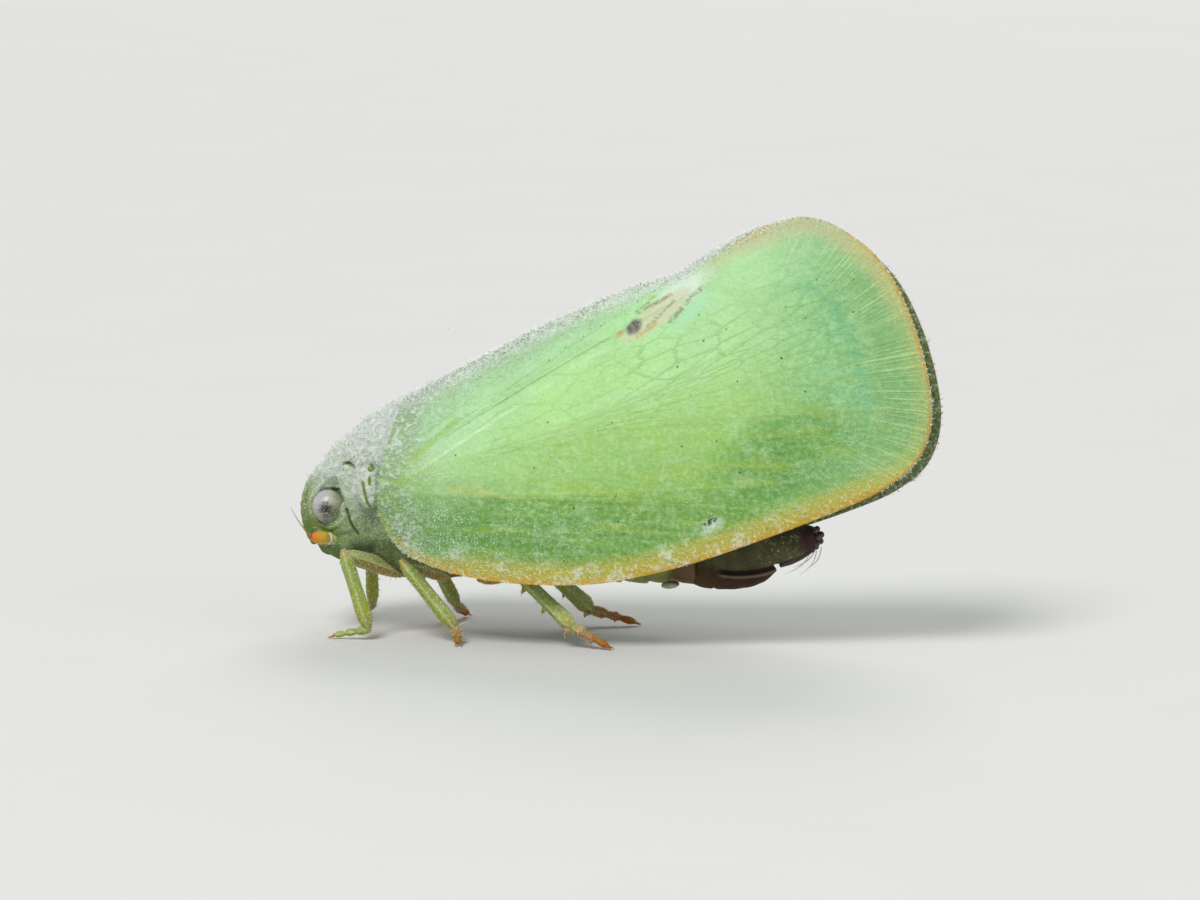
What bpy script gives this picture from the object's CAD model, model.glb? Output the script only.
import math

import bmesh
import bpy
import numpy as np
from mathutils import Matrix, Vector, kdtree, noise


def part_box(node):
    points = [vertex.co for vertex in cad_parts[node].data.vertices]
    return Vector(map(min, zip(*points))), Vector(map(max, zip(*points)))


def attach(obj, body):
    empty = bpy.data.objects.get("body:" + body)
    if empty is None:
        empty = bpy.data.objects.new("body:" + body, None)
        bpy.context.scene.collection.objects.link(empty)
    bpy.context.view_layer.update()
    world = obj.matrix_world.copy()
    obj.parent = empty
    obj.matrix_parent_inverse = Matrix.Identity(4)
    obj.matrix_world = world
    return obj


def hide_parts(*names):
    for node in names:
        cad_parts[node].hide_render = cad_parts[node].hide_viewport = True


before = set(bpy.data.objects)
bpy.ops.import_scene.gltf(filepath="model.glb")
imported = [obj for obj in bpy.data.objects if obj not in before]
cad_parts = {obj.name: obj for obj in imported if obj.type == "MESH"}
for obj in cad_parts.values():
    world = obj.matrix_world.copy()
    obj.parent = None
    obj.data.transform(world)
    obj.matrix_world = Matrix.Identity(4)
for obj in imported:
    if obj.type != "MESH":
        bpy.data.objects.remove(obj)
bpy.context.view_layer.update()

# Studio: the insect stands on a plain pale floor under soft light. The camera looks at its left
# side from a little behind and a little above, through a long lens, as a macro photographer does.
MM = 0.001
SIDES = ((1, "left"), (-1, "right"))
EYE_X, EYE_Y, EYE_Z = -4.03, -0.57, 1.79  # the left eye in the part's own millimetres
EYE_PLACE = Vector((EYE_X, EYE_Y, EYE_Z))
eye_low, eye_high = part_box("eye_left")
SHIFT = (Vector(eye_low) + Vector(eye_high)) / 2 / MM - EYE_PLACE
SIGHT_AZIMUTH, SIGHT_ELEVATION = math.radians(13), math.radians(9)
PICTURE_WIDTH = 16.67  # millimetres that the picture spans at the insect
PICTURE_CENTRE = (-0.278, 2.611)  # to the right of and above the part's own zero point, as the camera sees it
LENS_DISTANCE = 150.0
NEAREST_SEEN, FARTHEST_SEEN = 0.005, 5.0  # metres
FLOOR_HALF = 900
AIR_COLOUR, AIR_STRENGTH = (0.9, 0.93, 0.95, 1), 0.38


class Wire:
    """A socket of one material. Sums on it add their nodes, and node() adds any other node."""

    def __init__(self, tree, socket=None):
        self.tree, self.socket = tree, socket

    def node(self, kind, settings=None, inputs=None, out=0):
        made = self.tree.nodes.new("ShaderNode" + kind)
        for key, value in (settings or {}).items():
            if key == "stops":
                ramp = made.color_ramp
                while len(ramp.elements) < len(value):
                    ramp.elements.new(0.5)
                for element, (place, colour) in zip(ramp.elements, value):
                    element.position = place
                    element.color = (*colour, 1)
            else:
                setattr(made, key, value)
        for key, value in (inputs or {}).items():
            if isinstance(value, Wire):
                self.tree.links.new(value.socket, made.inputs[key])
            else:
                made.inputs[key].default_value = value
        return Wire(self.tree, made.outputs[out])

    def maths(self, operation, *others, clamp=False):
        return self.node("Math", {"operation": operation, "use_clamp": clamp},
                         dict(enumerate((self, *others))))

    def __add__(self, other):
        return self.maths("ADD", other)

    __radd__ = __add__

    def __mul__(self, other):
        return self.maths("MULTIPLY", other)

    __rmul__ = __mul__

    def __sub__(self, other):
        return self.maths("SUBTRACT", other)

    def __rsub__(self, other):
        return self.node("Math", {"operation": "SUBTRACT"}, {0: other, 1: self})

    def __truediv__(self, other):
        return self.maths("DIVIDE", other)

    def __abs__(self):
        return self.maths("ABSOLUTE")

    def capped(self):
        """This number, or 1 where it is greater."""
        return self.maths("MINIMUM", 1.0)

    def rise(self, low, high):
        """0 at low and 1 at high, with soft ends. low may be the greater."""
        return self.node("MapRange", {"interpolation_type": "SMOOTHSTEP"},
                         {"Value": self, "From Min": low, "From Max": high})

    def ramp(self, *stops):
        return self.node("ValToRGB", {"stops": stops}, {"Fac": self})

    def coated(self, *coats):
        """This colour under tints: each is a share and a colour, or a number that darkens what is below."""
        under = self
        for share, colour in coats:
            if isinstance(colour, float):
                colour = self.node("VectorMath", {"operation": "SCALE"}, {0: under, "Scale": colour})
            elif not isinstance(colour, Wire):
                colour = (*colour, 1)
            under = self.node("Mix", {"data_type": "RGBA"}, {0: share, 6: under, 7: colour}, out=2)
        return under

    def noise(self, scale, detail, roughness=0.5, stretch=(1, 1, 1)):
        """Clouds over this place, scale to the millimetre."""
        place = self.node("Mapping", {}, {"Vector": self, "Scale": stretch})
        return place.node("TexNoise", {}, {"Vector": place, "Scale": scale, "Detail": detail,
                                           "Roughness": roughness})

    def cells(self, feature, scale, randomness=1.0, out=0, flat=False):
        """Cells at this place, scale to the millimetre. flat ones lie in the first two directions only."""
        return self.node("TexVoronoi", {"feature": feature, "voronoi_dimensions": "2D" if flat else "3D"}, {
            "Vector": self, "Scale": scale, "Randomness": randomness}, out=out)

    def strands(self, scale):
        """Uneven stripes along one number."""
        return self.node("TexNoise", {"noise_dimensions": "1D"},
                         {"W": self * scale, "Scale": 1.0, "Detail": 0.0})

    def parts(self):
        return [self.node("SeparateXYZ", {}, {0: self}, out=axis) for axis in range(3)]

    def joined(self, *numbers):
        return self.node("CombineXYZ", {}, dict(enumerate(numbers)))

    def attributes(self, *names):
        return [self.node("Attribute", {"attribute_name": name}, out=2) for name in names]

    def place(self):
        """Where a point lies in the part's own millimetres."""
        held = self.node("TexCoord", out=3)
        return self.node("Mapping", {}, {"Vector": held, "Scale": (1 / MM,) * 3, "Location": tuple(-SHIFT)})


def finish(name, **constants):
    """A new material, with what is even all over set on its shader, and the place its wires start from."""
    material = bpy.data.materials.new(name)
    material.use_nodes = True
    shader = material.node_tree.nodes["Principled BSDF"]
    for key, value in constants.items():
        shader.inputs[key.replace("_", " ")].default_value = value
    return material, Wire(material.node_tree).place()


def wear(material, colour, roughness, height, depth, strength):
    """Links what varies to the material's shader. depth is the bump's height in millimetres."""
    links, shader = material.node_tree.links, material.node_tree.nodes["Principled BSDF"]
    links.new(colour.socket, shader.inputs["Base Color"])
    if isinstance(roughness, Wire):
        links.new(roughness.socket, shader.inputs["Roughness"])
    else:
        shader.inputs["Roughness"].default_value = roughness
    bump = height.node("Bump", {}, {"Height": height, "Distance": depth * MM, "Strength": strength})
    links.new(bump.socket, shader.inputs["Normal"])


def plain(name, clouds, dark, light, roughness, grain, depth, strength, **constants):
    """A material of one colour in soft, fine clouds. clouds and grain are each a scale and a detail."""
    material, place = finish(name, **constants)
    colour = place.noise(*clouds).ramp((0.3, dark), (0.7, light))
    wear(material, colour, roughness, place.noise(*grain), depth, strength)
    return material


def placed(mesh, name, material, body="root", slot=None, replaced=()):
    """The object of a mesh: what it rides on, its slot, and the solids that it takes the place of."""
    obj = bpy.data.objects.new(name, mesh)
    bpy.context.scene.collection.objects.link(obj)
    mesh.materials.append(material)
    mesh.shade_smooth()
    if body:
        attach(obj, body)
    if replaced:
        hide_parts(*replaced)
    return obj


def finished(bm, name, material, side=1, **told):
    """The object of a mesh made in the part's own millimetres. side -1 mirrors it to the right."""
    bm.normal_update()
    bmesh.ops.recalc_face_normals(bm, faces=bm.faces)
    if side < 0:
        bmesh.ops.scale(bm, vec=(1, -1, 1), verts=bm.verts)
        bmesh.ops.reverse_faces(bm, faces=bm.faces)
    bmesh.ops.translate(bm, vec=SHIFT, verts=bm.verts)
    bmesh.ops.scale(bm, vec=(MM, MM, MM), verts=bm.verts)
    mesh = bpy.data.meshes.new(name)
    bm.to_mesh(mesh)
    bm.free()
    return placed(mesh, name, material, **told)


paper = plain("studio_paper", (0.35, 3), (0.715, 0.715, 0.71), (0.725, 0.725, 0.72), 0.85, (9, 3), 0.004, 0.2,
              Specular_IOR_Level=0.2)
bm = bmesh.new()
bmesh.ops.create_grid(bm, x_segments=8, y_segments=8, size=FLOOR_HALF)
bmesh.ops.translate(bm, vec=-SHIFT, verts=bm.verts)
floor = finished(bm, "studio_floor", paper, body=None)

world = bpy.data.worlds.new("studio_air")
world.use_nodes = True
air = world.node_tree.nodes["Background"].inputs
air["Color"].default_value, air["Strength"].default_value = AIR_COLOUR, AIR_STRENGTH
bpy.context.scene.world = world

sight_right = Vector((math.cos(SIGHT_AZIMUTH), math.sin(SIGHT_AZIMUTH), 0))
sight_back = Vector((math.sin(SIGHT_AZIMUTH) * math.cos(SIGHT_ELEVATION),
                     -math.cos(SIGHT_AZIMUTH) * math.cos(SIGHT_ELEVATION), math.sin(SIGHT_ELEVATION)))
sight_up = sight_back.cross(sight_right)
sight_target = SHIFT + PICTURE_CENTRE[0] * sight_right + PICTURE_CENTRE[1] * sight_up
camera = bpy.data.objects.new("camera", bpy.data.cameras.new("camera"))
camera.data.lens = camera.data.sensor_width * LENS_DISTANCE / PICTURE_WIDTH
camera.data.clip_start, camera.data.clip_end = NEAREST_SEEN, FARTHEST_SEEN
camera.matrix_world = Matrix.Translation((sight_target + sight_back * LENS_DISTANCE) * MM) @ Matrix(
    (sight_right, sight_up, sight_back)).transposed().to_4x4()
bpy.context.scene.collection.objects.link(camera)
bpy.context.scene.camera = camera

# name, where it stands (right, up and towards the camera in millimetres), size, watts, colour
for name, spot, size, watts, colour in (
        ("key_softbox", (-90, 190, 150), 100, 0.48, (1.0, 0.985, 0.95)),
        ("fill_softbox", (190, 60, 120), 160, 0.08, (0.95, 0.98, 1.0)),
        ("back_softbox", (40, 170, -190), 140, 0.22, (1.0, 1.0, 0.97))):
    lamp = bpy.data.lights.new(name, "AREA")
    lamp.size, lamp.energy, lamp.color = size * MM, watts, colour
    softbox = bpy.data.objects.new(name, lamp)
    stand = sight_target + spot[0] * sight_right + Vector((0, 0, spot[1])) + spot[2] * sight_back
    softbox.matrix_world = Matrix.Translation(stand * MM) @ (stand - sight_target).to_track_quat(
        "Z", "Y").to_matrix().to_4x4()
    bpy.context.scene.collection.objects.link(softbox)
bpy.context.scene.view_settings.view_transform = "Standard"

# Forewings: each is one leathery membrane of about 0.05 mm that stands beside the body like a tent
# wall, thicker at its root. Veins fan out from the root as ridges, and fork towards a band of fine
# parallel veinlets along the tip; the margin is orange-yellow and white wax lies on it as dust.
WING_MARGIN = (
    (-2.97, 3.33), (-2.2, 3.76), (-1.0, 4.4), (0.3, 4.98), (0.92, 5.17), (1.5, 5.58),
    (2.1, 5.9), (2.63, 6.06), (3.2, 5.91), (3.8, 5.45), (4.29, 4.54), (4.54, 3.5),
    (4.4, 2.8), (3.95, 2.36), (3.3, 2.03), (2.21, 1.6), (1.1, 1.21), (0.0, 0.96),
    (-1.0, 0.92), (-1.9, 1.0), (-2.59, 1.18), (-2.91, 1.37))
WING_FRONT = ((-2.97, 3.33), (-3.08, 2.81), (-3.2, 2.26), (-3.19, 1.83), (-3.06, 1.54), (-2.91, 1.37))
DORSAL_OUT = ((-3.9, 0.82), (-3.2, 0.58), (-2.3, 0.27), (-1.2, 0.2), (2.6, 0.16), (4.6, 0.15))
COSTAL_OUT = ((-4.2, 0.8), (-3.2, 1.05), (-2.6, 1.2), (-1.4, 1.27), (0.5, 1.1), (2.7, 0.75), (4.6, 0.46))
DORSAL_Z = ((-4.2, 2.8), (-3.2, 3.3), (-2.2, 3.78), (0.9, 5.27), (2.6, 6.08), (4.6, 6.3))
COSTAL_Z = ((-4.2, 1.82), (-3.2, 1.45), (-2.2, 1.08), (-1.0, 0.92), (0.5, 1.05), (2.7, 1.8), (4.6, 2.6))
ROOT_SHARE = ((0.0, 0.0), (0.1, 0.42), (0.75, 0.66), (1.0, 1.0))
VEIN_STEMS = ((0.105,), (0.165,), (0.232,), (0.3, 0.36), (0.42, 0.475, 0.53), (0.59, 0.655), (0.765,))
VEIN_ENDS = [end for stem in VEIN_STEMS for end in stem]
WING_ROOT = Vector((-3.1, 0.0, 2.2))
CLAVAL_LINE = ((-2.95, 2.16), (-2.72, 2.32), (-2.5, 2.5), (-1.94, 2.89), (-1.26, 3.34), (-0.71, 3.73),
               (-0.16, 4.1), (0.11, 4.3))
RIGHT_DROOP, SLID_FORWARD = math.radians(1.8), {1: 0.045, -1: 0.14}
WING_DEPTH, ROOT_DEPTH = 0.05, 0.34
VEIN_RIDGE, CLAVAL_RIDGE, VEIN_HALF = 0.008, 0.013, 0.045
FOLDED_IN = 0.32  # how far the lower front edge turns in towards the body
LEAST_OUT = 0.045  # how near to the midplane the outer face may come
WING_ROWS = 96


def eased(t):
    t = np.clip(t, 0, 1)
    return t * t * (3 - 2 * t)


def bell(far, half):
    """1 at no distance, and little left at twice the half width."""
    return np.exp(-((far / half) ** 2))


def bent_line(pairs, x):
    """The value at x on lines through (x, value) pairs, with their corners rounded off."""
    spots, values = zip(*pairs)
    weights = [1 - abs(step) / 3.6 for step in range(-3, 4)]
    heights = [np.interp(x + 0.7 * step / 3, spots, values) for step in range(-3, 4)]
    return sum(weight * height for weight, height in zip(weights, heights)) / sum(weights)


def smooth_path(points, steps=12):
    """Points on a smooth curve through the given ones, and the share of its length at each."""
    knots = [np.array(point, float) for point in points]
    knots = [2 * knots[0] - knots[1], *knots, 2 * knots[-1] - knots[-2]]
    path = [knots[1]]
    for a, b, c, d in zip(knots, knots[1:], knots[2:], knots[3:]):
        for t in np.arange(1, steps + 1) / steps:
            path.append(0.5 * (2 * b + (c - a) * t + (2 * a - 5 * b + 4 * c - d) * t**2
                               + (3 * b - a - 3 * c + d) * t**3))
    path = np.array(path)
    lengths = np.concatenate([[0], np.cumsum(np.linalg.norm(np.diff(path, axis=0), axis=1))])
    return path, lengths / lengths[-1]


def along_path(path, share):
    points, shares = path
    return np.stack([np.interp(share, shares, points[:, axis]) for axis in range(points.shape[1])], axis=-1)


def wing_face(x, z):
    """Distance of the forewing's outer face from the insect's midplane."""
    top, bottom = bent_line(DORSAL_Z, x), bent_line(COSTAL_Z, x)
    inner, outer = bent_line(DORSAL_OUT, x), bent_line(COSTAL_OUT, x)
    down = np.clip((top - z) / (top - bottom), 0.02, 1.05)
    bulge = 0.2 * (1 - 0.6 * eased((x + 1) / 5))
    return inner + (outer - inner) * down**0.8 + bulge * np.sin(np.pi * np.minimum(down, 1.0))


margin_path, front_path = smooth_path(WING_MARGIN), smooth_path(WING_FRONT)
margin_dots = along_path(margin_path, np.linspace(0, 1, 1400))
front_dots = along_path(front_path, np.linspace(0, 1, 200))
claval_dots = along_path(smooth_path(CLAVAL_LINE), np.linspace(0, 1, 160))


def wing_point(share, along):
    """(x, z) on the wing: share tells where its ray ends on the margin, along how far out it lies."""
    spread = 0.3 + 0.7 * eased((along - 0.3) / 0.7)
    ends, places = [0.0], [0.0]
    for stem in VEIN_STEMS:
        middle = sum(stem) / len(stem)
        for end in stem:
            at = middle + (end - middle) * spread
            ends += [end - 0.0055, end, end + 0.0055]
            places += [at - 0.0055, at, at + 0.0055]
    ends_at = np.interp(share, [*ends, 1.0], [*places, 1.0])
    root = along_path(front_path, np.interp(ends_at, *zip(*ROOT_SHARE)))
    return root + (along_path(margin_path, ends_at) - root) * along


def distance_to(dots, points):
    return np.array([np.sqrt(((dots - point) ** 2).sum(axis=1).min()) for point in points])


def wing_fields(shares, along):
    """What the mesh and the finish need at one row of the wing, as arrays over its rays."""
    points = wing_point(shares, along)
    nearest = np.abs(shares[:, None] - np.array(VEIN_ENDS)[None, :]).min(axis=1)
    stretch = np.linalg.norm(np.gradient(points, axis=0), axis=1) / np.gradient(shares)
    rim, front = distance_to(margin_dots, points), distance_to(front_dots, points)
    return points, {"rim": rim, "front": front, "vein": nearest * stretch, "spread": stretch,
                    "claval": distance_to(claval_dots, points)}


def wing_bmesh(shares, rows, sink=0.0, reach=1.0):
    """The membrane as a closed shell. sink moves it in towards the body, reach shortens it."""
    bm = bmesh.new()
    layers = {key: bm.verts.layers.float.new(key) for key in (
        "share", "along", "rim", "front", "vein", "claval", "spread", "inner", "depth")}
    across = len(shares) - 1
    bmesh.ops.create_grid(bm, x_segments=across, y_segments=rows, size=0.5)
    table = [wing_fields(shares, reach * row / rows) for row in range(rows + 1)]
    faces = [wing_face(points[:, 0], points[:, 1]) for points, _ in table]
    for vert in bm.verts:
        column, row = round((vert.co.x + 0.5) * across), round((vert.co.y + 0.5) * rows)
        points, fields = table[row]
        rim, front = fields["rim"][column], fields["front"][column]
        for key, values in fields.items():
            vert[layers[key]] = values[column]
        vert[layers["share"]], vert[layers["along"]] = shares[column], row / rows
        ridge = bell(fields["vein"][column], VEIN_HALF)
        ridge *= (eased(rim / 0.35) * eased(row / rows / 0.08)
                  * (0.35 + 0.5 * eased((shares[column] - 0.36) / 0.06)))
        over = ((1 - eased(rim / 0.34)) * eased((points[column][0] + 2.8) / 0.6)
                * eased((0.37 - shares[column]) / 0.12))
        out = faces[row][column]
        out -= min(FOLDED_IN, max(out - LEAST_OUT, 0)) * over + sink
        vert[layers["depth"]] = WING_DEPTH * (0.6 + 0.4 * eased(rim / 0.1))
        if not sink:
            vert[layers["depth"]] += (ROOT_DEPTH - WING_DEPTH) * (1 - eased(front / 0.55)) * eased(rim / 0.5)
        out += VEIN_RIDGE * ridge + CLAVAL_RIDGE * bell(fields["claval"][column], VEIN_HALF)
        vert.co = (points[column][0], -max(out, 0.035 if sink else LEAST_OUT), points[column][1])
    bmesh.ops.remove_doubles(bm, verts=bm.verts, dist=0.0005)
    bmesh.ops.dissolve_degenerate(bm, edges=bm.edges, dist=0.0005)
    inner = bmesh.ops.extrude_face_region(bm, geom=bm.faces[:], use_keep_orig=True)
    for vert in inner["geom"]:
        if isinstance(vert, bmesh.types.BMVert):
            vert.co.y += min(vert[layers["depth"]], -vert.co.y - 0.015)
            vert[layers["inner"]] = 1.0
    return bm


def droop(bm, side):
    """Sets the wing's tip: the right wing hangs a little lower and lies further forward than the left."""
    for vert in bm.verts:
        x, _, z = vert.co
        vert.co.x -= SLID_FORWARD[side] * eased((x - 1.5) / 2.8)
        vert.co.z -= 0.055 * eased((x - 1.7) / 0.8) * eased((z - 4.9) / 0.9)
    if side < 0:
        bmesh.ops.rotate(bm, cent=WING_ROOT, matrix=Matrix.Rotation(RIGHT_DROOP, 3, "Y"), verts=bm.verts)
    return bm


def spot_mask(x, z, centre, radii, turn=0.0, soft=0.5, wobble=None):
    """1 inside an ellipse on the wing's side and 0 outside, with a soft or ragged edge."""
    cos, sin = math.cos(math.radians(turn)), math.sin(math.radians(turn))
    along = ((x - centre[0]) * cos + (z - centre[1]) * sin) / radii[0]
    across = ((z - centre[1]) * cos - (x - centre[0]) * sin) / radii[1]
    far = (along * along + across * across).maths("SQRT")
    return (far + wobble if wobble else far).rise(1.0, 1.0 - soft)


def line_mask(x, z, start, end, half):
    """1 on a straight stroke and 0 beside it."""
    run, climb = end[0] - start[0], end[1] - start[1]
    share = ((x - start[0]) * run + (z - start[1]) * climb).maths("DIVIDE", run * run + climb * climb,
                                                                  clamp=True)
    aside, above = x - start[0] - share * run, z - start[1] - share * climb
    return (aside * aside + above * above).maths("SQRT").rise(half, half * 0.25)


wing_green, place = finish("wing_green_under_wax", Specular_IOR_Level=0.22, Subsurface_Weight=0.08,
                          Subsurface_Scale=0.0002)
x, y, z = place.parts()
share, along, rim, front, vein, claval, spread, inner = place.attributes(
    "share", "along", "rim", "front", "vein", "claval", "spread", "inner")
left = y.rise(0.01, -0.01)  # the scars are on the left wing only
side_on = place.joined(x, z, 0.0)
clouds = place.noise(1.1, 3, stretch=(1, 0.2, 1))
wobble = (place.noise(7, 3) - 0.5) * 0.5
tremble = place.noise(28, 2) - 0.5
fine = place.noise(16, 4, 0.65)

# Leaf green: mint by the back, yellow-green in the middle, deeper below and bluish behind.
green = share.ramp(
    (0.0, (0.42, 0.66, 0.44)), (0.12, (0.42, 0.72, 0.4)), (0.22, (0.44, 0.76, 0.39)),
    (0.27, (0.45, 0.8, 0.37)), (0.37, (0.47, 0.81, 0.39)), (0.46, (0.44, 0.74, 0.28)),
    (0.53, (0.39, 0.67, 0.2)), (0.66, (0.21, 0.43, 0.085)), (0.8, (0.175, 0.385, 0.075)),
    (1.0, (0.26, 0.45, 0.17)))
at_root = z.rise(1.2, 3.0).ramp((0.0, (0.22, 0.42, 0.11)), (0.3, (0.27, 0.47, 0.16)),
                                (0.55, (0.35, 0.58, 0.22)), (0.8, (0.42, 0.7, 0.3)), (1.0, (0.45, 0.73, 0.4)))
middle = spot_mask(x, z, (-0.5, 3.45), (2.6, 0.75), 28, 0.9, wobble)
rear_low = spot_mask(x, z, (2.5, 2.75), (1.5, 0.8), 22, 0.7, wobble)
streak = place.noise(2.2, 3, stretch=(0.45, 0.3, 3.2))
patchy, mottle = place.noise(3.2, 4, 0.65), place.noise(10, 4, 0.7, stretch=(0.6, 0.6, 1.3))
low_part = (share.rise(0.52, 0.66) + x.rise(1.6, 3.0) * 0.7).capped()
green = green.coated(
    (along.rise(0.36, 0.1), at_root),
    (middle * 0.7, (0.46, 0.8, 0.28)),
    (x.rise(1.6, 3.4) * share.rise(0.7, 0.5) * 0.75, (0.21, 0.52, 0.24)),
    (rear_low * 0.85, (0.125, 0.35, 0.065)),
    (rim.rise(1.0, 0.5) * x.rise(2.6, 3.6) * 0.5, (0.28, 0.5, 0.19)),
    (clouds.rise(0.4, 0.68) * 0.3, 0.72),
    (streak.rise(0.48, 0.7) * share.rise(0.4, 0.6) * along.rise(0.15, 0.4) * 0.55, (0.38, 0.56, 0.08)),
    (streak.rise(0.5, 0.3) * share.rise(0.5, 0.65) * 0.35, (0.12, 0.33, 0.07)),
    (patchy.rise(0.5, 0.66) * 0.22, (0.58, 0.84, 0.5)),
    (mottle.rise(0.52, 0.38) * low_part * 0.45, 0.7),
    (mottle.rise(0.56, 0.68) * (0.12 + low_part * 0.28), (0.56, 0.84, 0.5)),
    (fine.rise(0.45, 0.65) * 0.22, (0.64, 0.9, 0.54)),
    (fine.rise(0.46, 0.34) * 0.14, 0.6))

# The network: long cells between the branching veins, then uneven whitish veinlets to the margin.
lattice = place.joined(share * 92 + tremble * 0.35, along * 13 + tremble * 0.2, 0.0)
web = lattice.cells("DISTANCE_TO_EDGE", 1.0, 0.72, flat=True)
web_line = web.rise(0.075, 0.015) * along.rise(0.34, 0.55) * rim.rise(0.4, 0.9) * share.rise(0.12, 0.17)
web_line = web_line * (0.35 + 0.65 * share.rise(0.52, 0.42)) * clouds.rise(0.72, 0.42)
sparse = place.joined(share * 42 + tremble * 0.25, along * 8, 0.0)
big_line = sparse.cells("DISTANCE_TO_EDGE", 1.0, 0.9, flat=True).rise(0.045, 0.01)
big_line = (big_line * along.rise(0.12, 0.25) * along.rise(0.62, 0.45) * share.rise(0.22, 0.27)
            * share.rise(0.6, 0.5))
angle = (z - 3.66).maths("ARCTAN2", x - 1.75)
fan = (angle * 245 + angle.strands(36) * 9 + tremble * 1.2).maths("SINE").rise(-0.1, 0.9)
fan = fan * (0.35 + 0.65 * angle.strands(95).rise(0.36, 0.6)) * (0.55 + 0.45 * fine.rise(0.3, 0.5))
fan_end = 0.42 + angle.strands(70) * 0.75
veinlet = fan * (rim - fan_end).rise(0.1, -0.35) * rim.rise(0.02, 0.1) * x.rise(1.5, 2.6)
veinlet = veinlet * (angle.rise(-1.1, -0.75) * 0.4 + angle.rise(-0.45, -0.15) * 0.6)
shadowed = rim.rise(1.05, 0.45) * x.rise(2.0, 3.0) * angle.rise(1.2, 0.7) * (1.0 - fan)
subapical = abs(rim - 0.92 + wobble * 0.5).rise(0.13, 0.02) * x.rise(2.1, 2.8) * fine.rise(0.25, 0.52)
subapical = subapical * angle.rise(-0.5, 0.0)
main_vein = vein.rise(0.042, 0.012) * rim.rise(0.15, 0.5)
green = green.coated(
    (web_line * 0.36, (0.19, 0.48, 0.15)),
    (big_line * 0.28, (0.3, 0.58, 0.12)),
    (subapical * 0.34, (0.15, 0.48, 0.25)),
    (shadowed * 0.4, (0.18, 0.43, 0.12)),
    (veinlet * 0.58, (0.58, 0.8, 0.4)),
    (main_vein * 0.16 * share.rise(0.36, 0.42), (0.34, 0.54, 0.12)))

# Marks at the root: a pale claval line, yellow-green beside it, and green creases.
pale = (claval.rise(0.036, 0.006) * x.rise(-2.78, -2.35) * (0.5 + 0.5 * x.rise(-1.0, -1.9))
        * fine.rise(0.2, 0.45))
lime = (abs(share - 0.165) * spread).rise(0.1, 0.02) * along.rise(0.6, 0.3) * 0.5
aslant = x + wobble * 0.06
for start, end, half, depth in (
        ((-2.83, 2.48), (-2.6, 2.68), 0.1, 1.0), ((-2.6, 2.68), (-2.15, 3.09), 0.065, 0.9),
        ((-2.8, 2.3), (-2.5, 2.45), 0.055, 0.9), ((-3.16, 2.27), (-2.9, 2.24), 0.065, 1.3),
        ((-2.9, 2.24), (-2.57, 2.22), 0.04, 1.1), ((-3.32, 1.99), (-3.13, 2.02), 0.06, 1.3),
        ((-3.13, 2.02), (-2.94, 2.03), 0.055, 1.1), ((-2.96, 1.9), (-2.77, 1.9), 0.06, 0.6)):
    lime = lime.maths("MAXIMUM", line_mask(aslant, z, start, end, half) * depth)
amber = (line_mask(x, z, (-2.16, 2.21), (-1.63, 2.15), 0.09)
         + line_mask(x, z, (-1.63, 2.15), (-0.73, 2.02), 0.035))
green = green.coated(
    ((lime * fine.rise(0.26, 0.46)).capped() * 0.72, (0.34, 0.56, 0.07)),
    (pale * 0.72, (0.72, 0.95, 0.66)),
    (amber.capped() * 0.45 * fine.rise(0.3, 0.6), (0.55, 0.6, 0.16)))

# White wax: a soft bloom in patches and crisp grains, thickest at the root and along the edges.
grain = side_on.cells("F1", 21.0, flat=True)
grain_pick = side_on.cells("F1", 21.0, out=1, flat=True).parts()[0]
root_bloom = front.rise(1.3, 0.1) * 0.85 + rim.rise(0.42, 0.05) * share.rise(0.28, 0.16)
low_bloom = share.rise(0.62, 0.9) * along.rise(0.85, 0.3) * 0.75
rear_bloom = x.rise(1.9, 3.2) * z.rise(4.4, 3.0) * 0.12
bloom_zone = (root_bloom + low_bloom + rear_bloom + rim.rise(0.35, 0.08) * 0.3).capped()
bloom = (place.noise(4.5, 5, 0.75) * 0.65 + fine * 0.35).rise(0.46, 0.6) * bloom_zone
grains = grain.rise(0.38, 0.16) * grain_pick.rise(0.86, 0.5) * (bloom_zone * 0.9 + 0.08)
grains = grains * (patchy * 0.6 + mottle * 0.4).rise(0.42, 0.56)
root_wax = front.rise(0.75, 0.05) * (mottle * 0.45 + fine * 0.55).rise(0.42, 0.56)
back_wax = (rim + wobble * 0.25).rise(0.26, 0.03) * share.rise(0.34, 0.22)
beside = (rim + wobble * 0.3).rise(0.62, 0.25) * share.rise(0.24, 0.14)
green = green.coated(
    (bloom * 0.42, (0.56, 0.78, 0.54)),
    (share.rise(0.6, 0.75) * x.rise(-0.6, -1.6) * 0.3, (0.1, 0.3, 0.05)),
    (grains * 0.85, (0.86, 0.97, 0.84)),
    (front.rise(0.45, 0.02) * 0.6 * (1.0 - lime.capped()), (0.27, 0.41, 0.15)),
    (root_wax * (0.42 + 0.46 * z.rise(2.1, 2.8)), (0.74, 0.9, 0.72)),
    (front.rise(0.13, 0.02) * z.rise(1.95, 1.7) * fine.rise(0.3, 0.5) * 0.8, (0.38, 0.48, 0.06)),
    (line_mask(x, z, (-2.88, 1.37), (-2.45, 1.18), 0.1) * 0.8, (0.62, 0.52, 0.04)),
    (beside * fine.rise(0.54, 0.42) * 0.45, (0.44, 0.58, 0.22)),
    (back_wax * fine.rise(0.32, 0.5) * 0.92, (0.84, 0.93, 0.84)))

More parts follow.
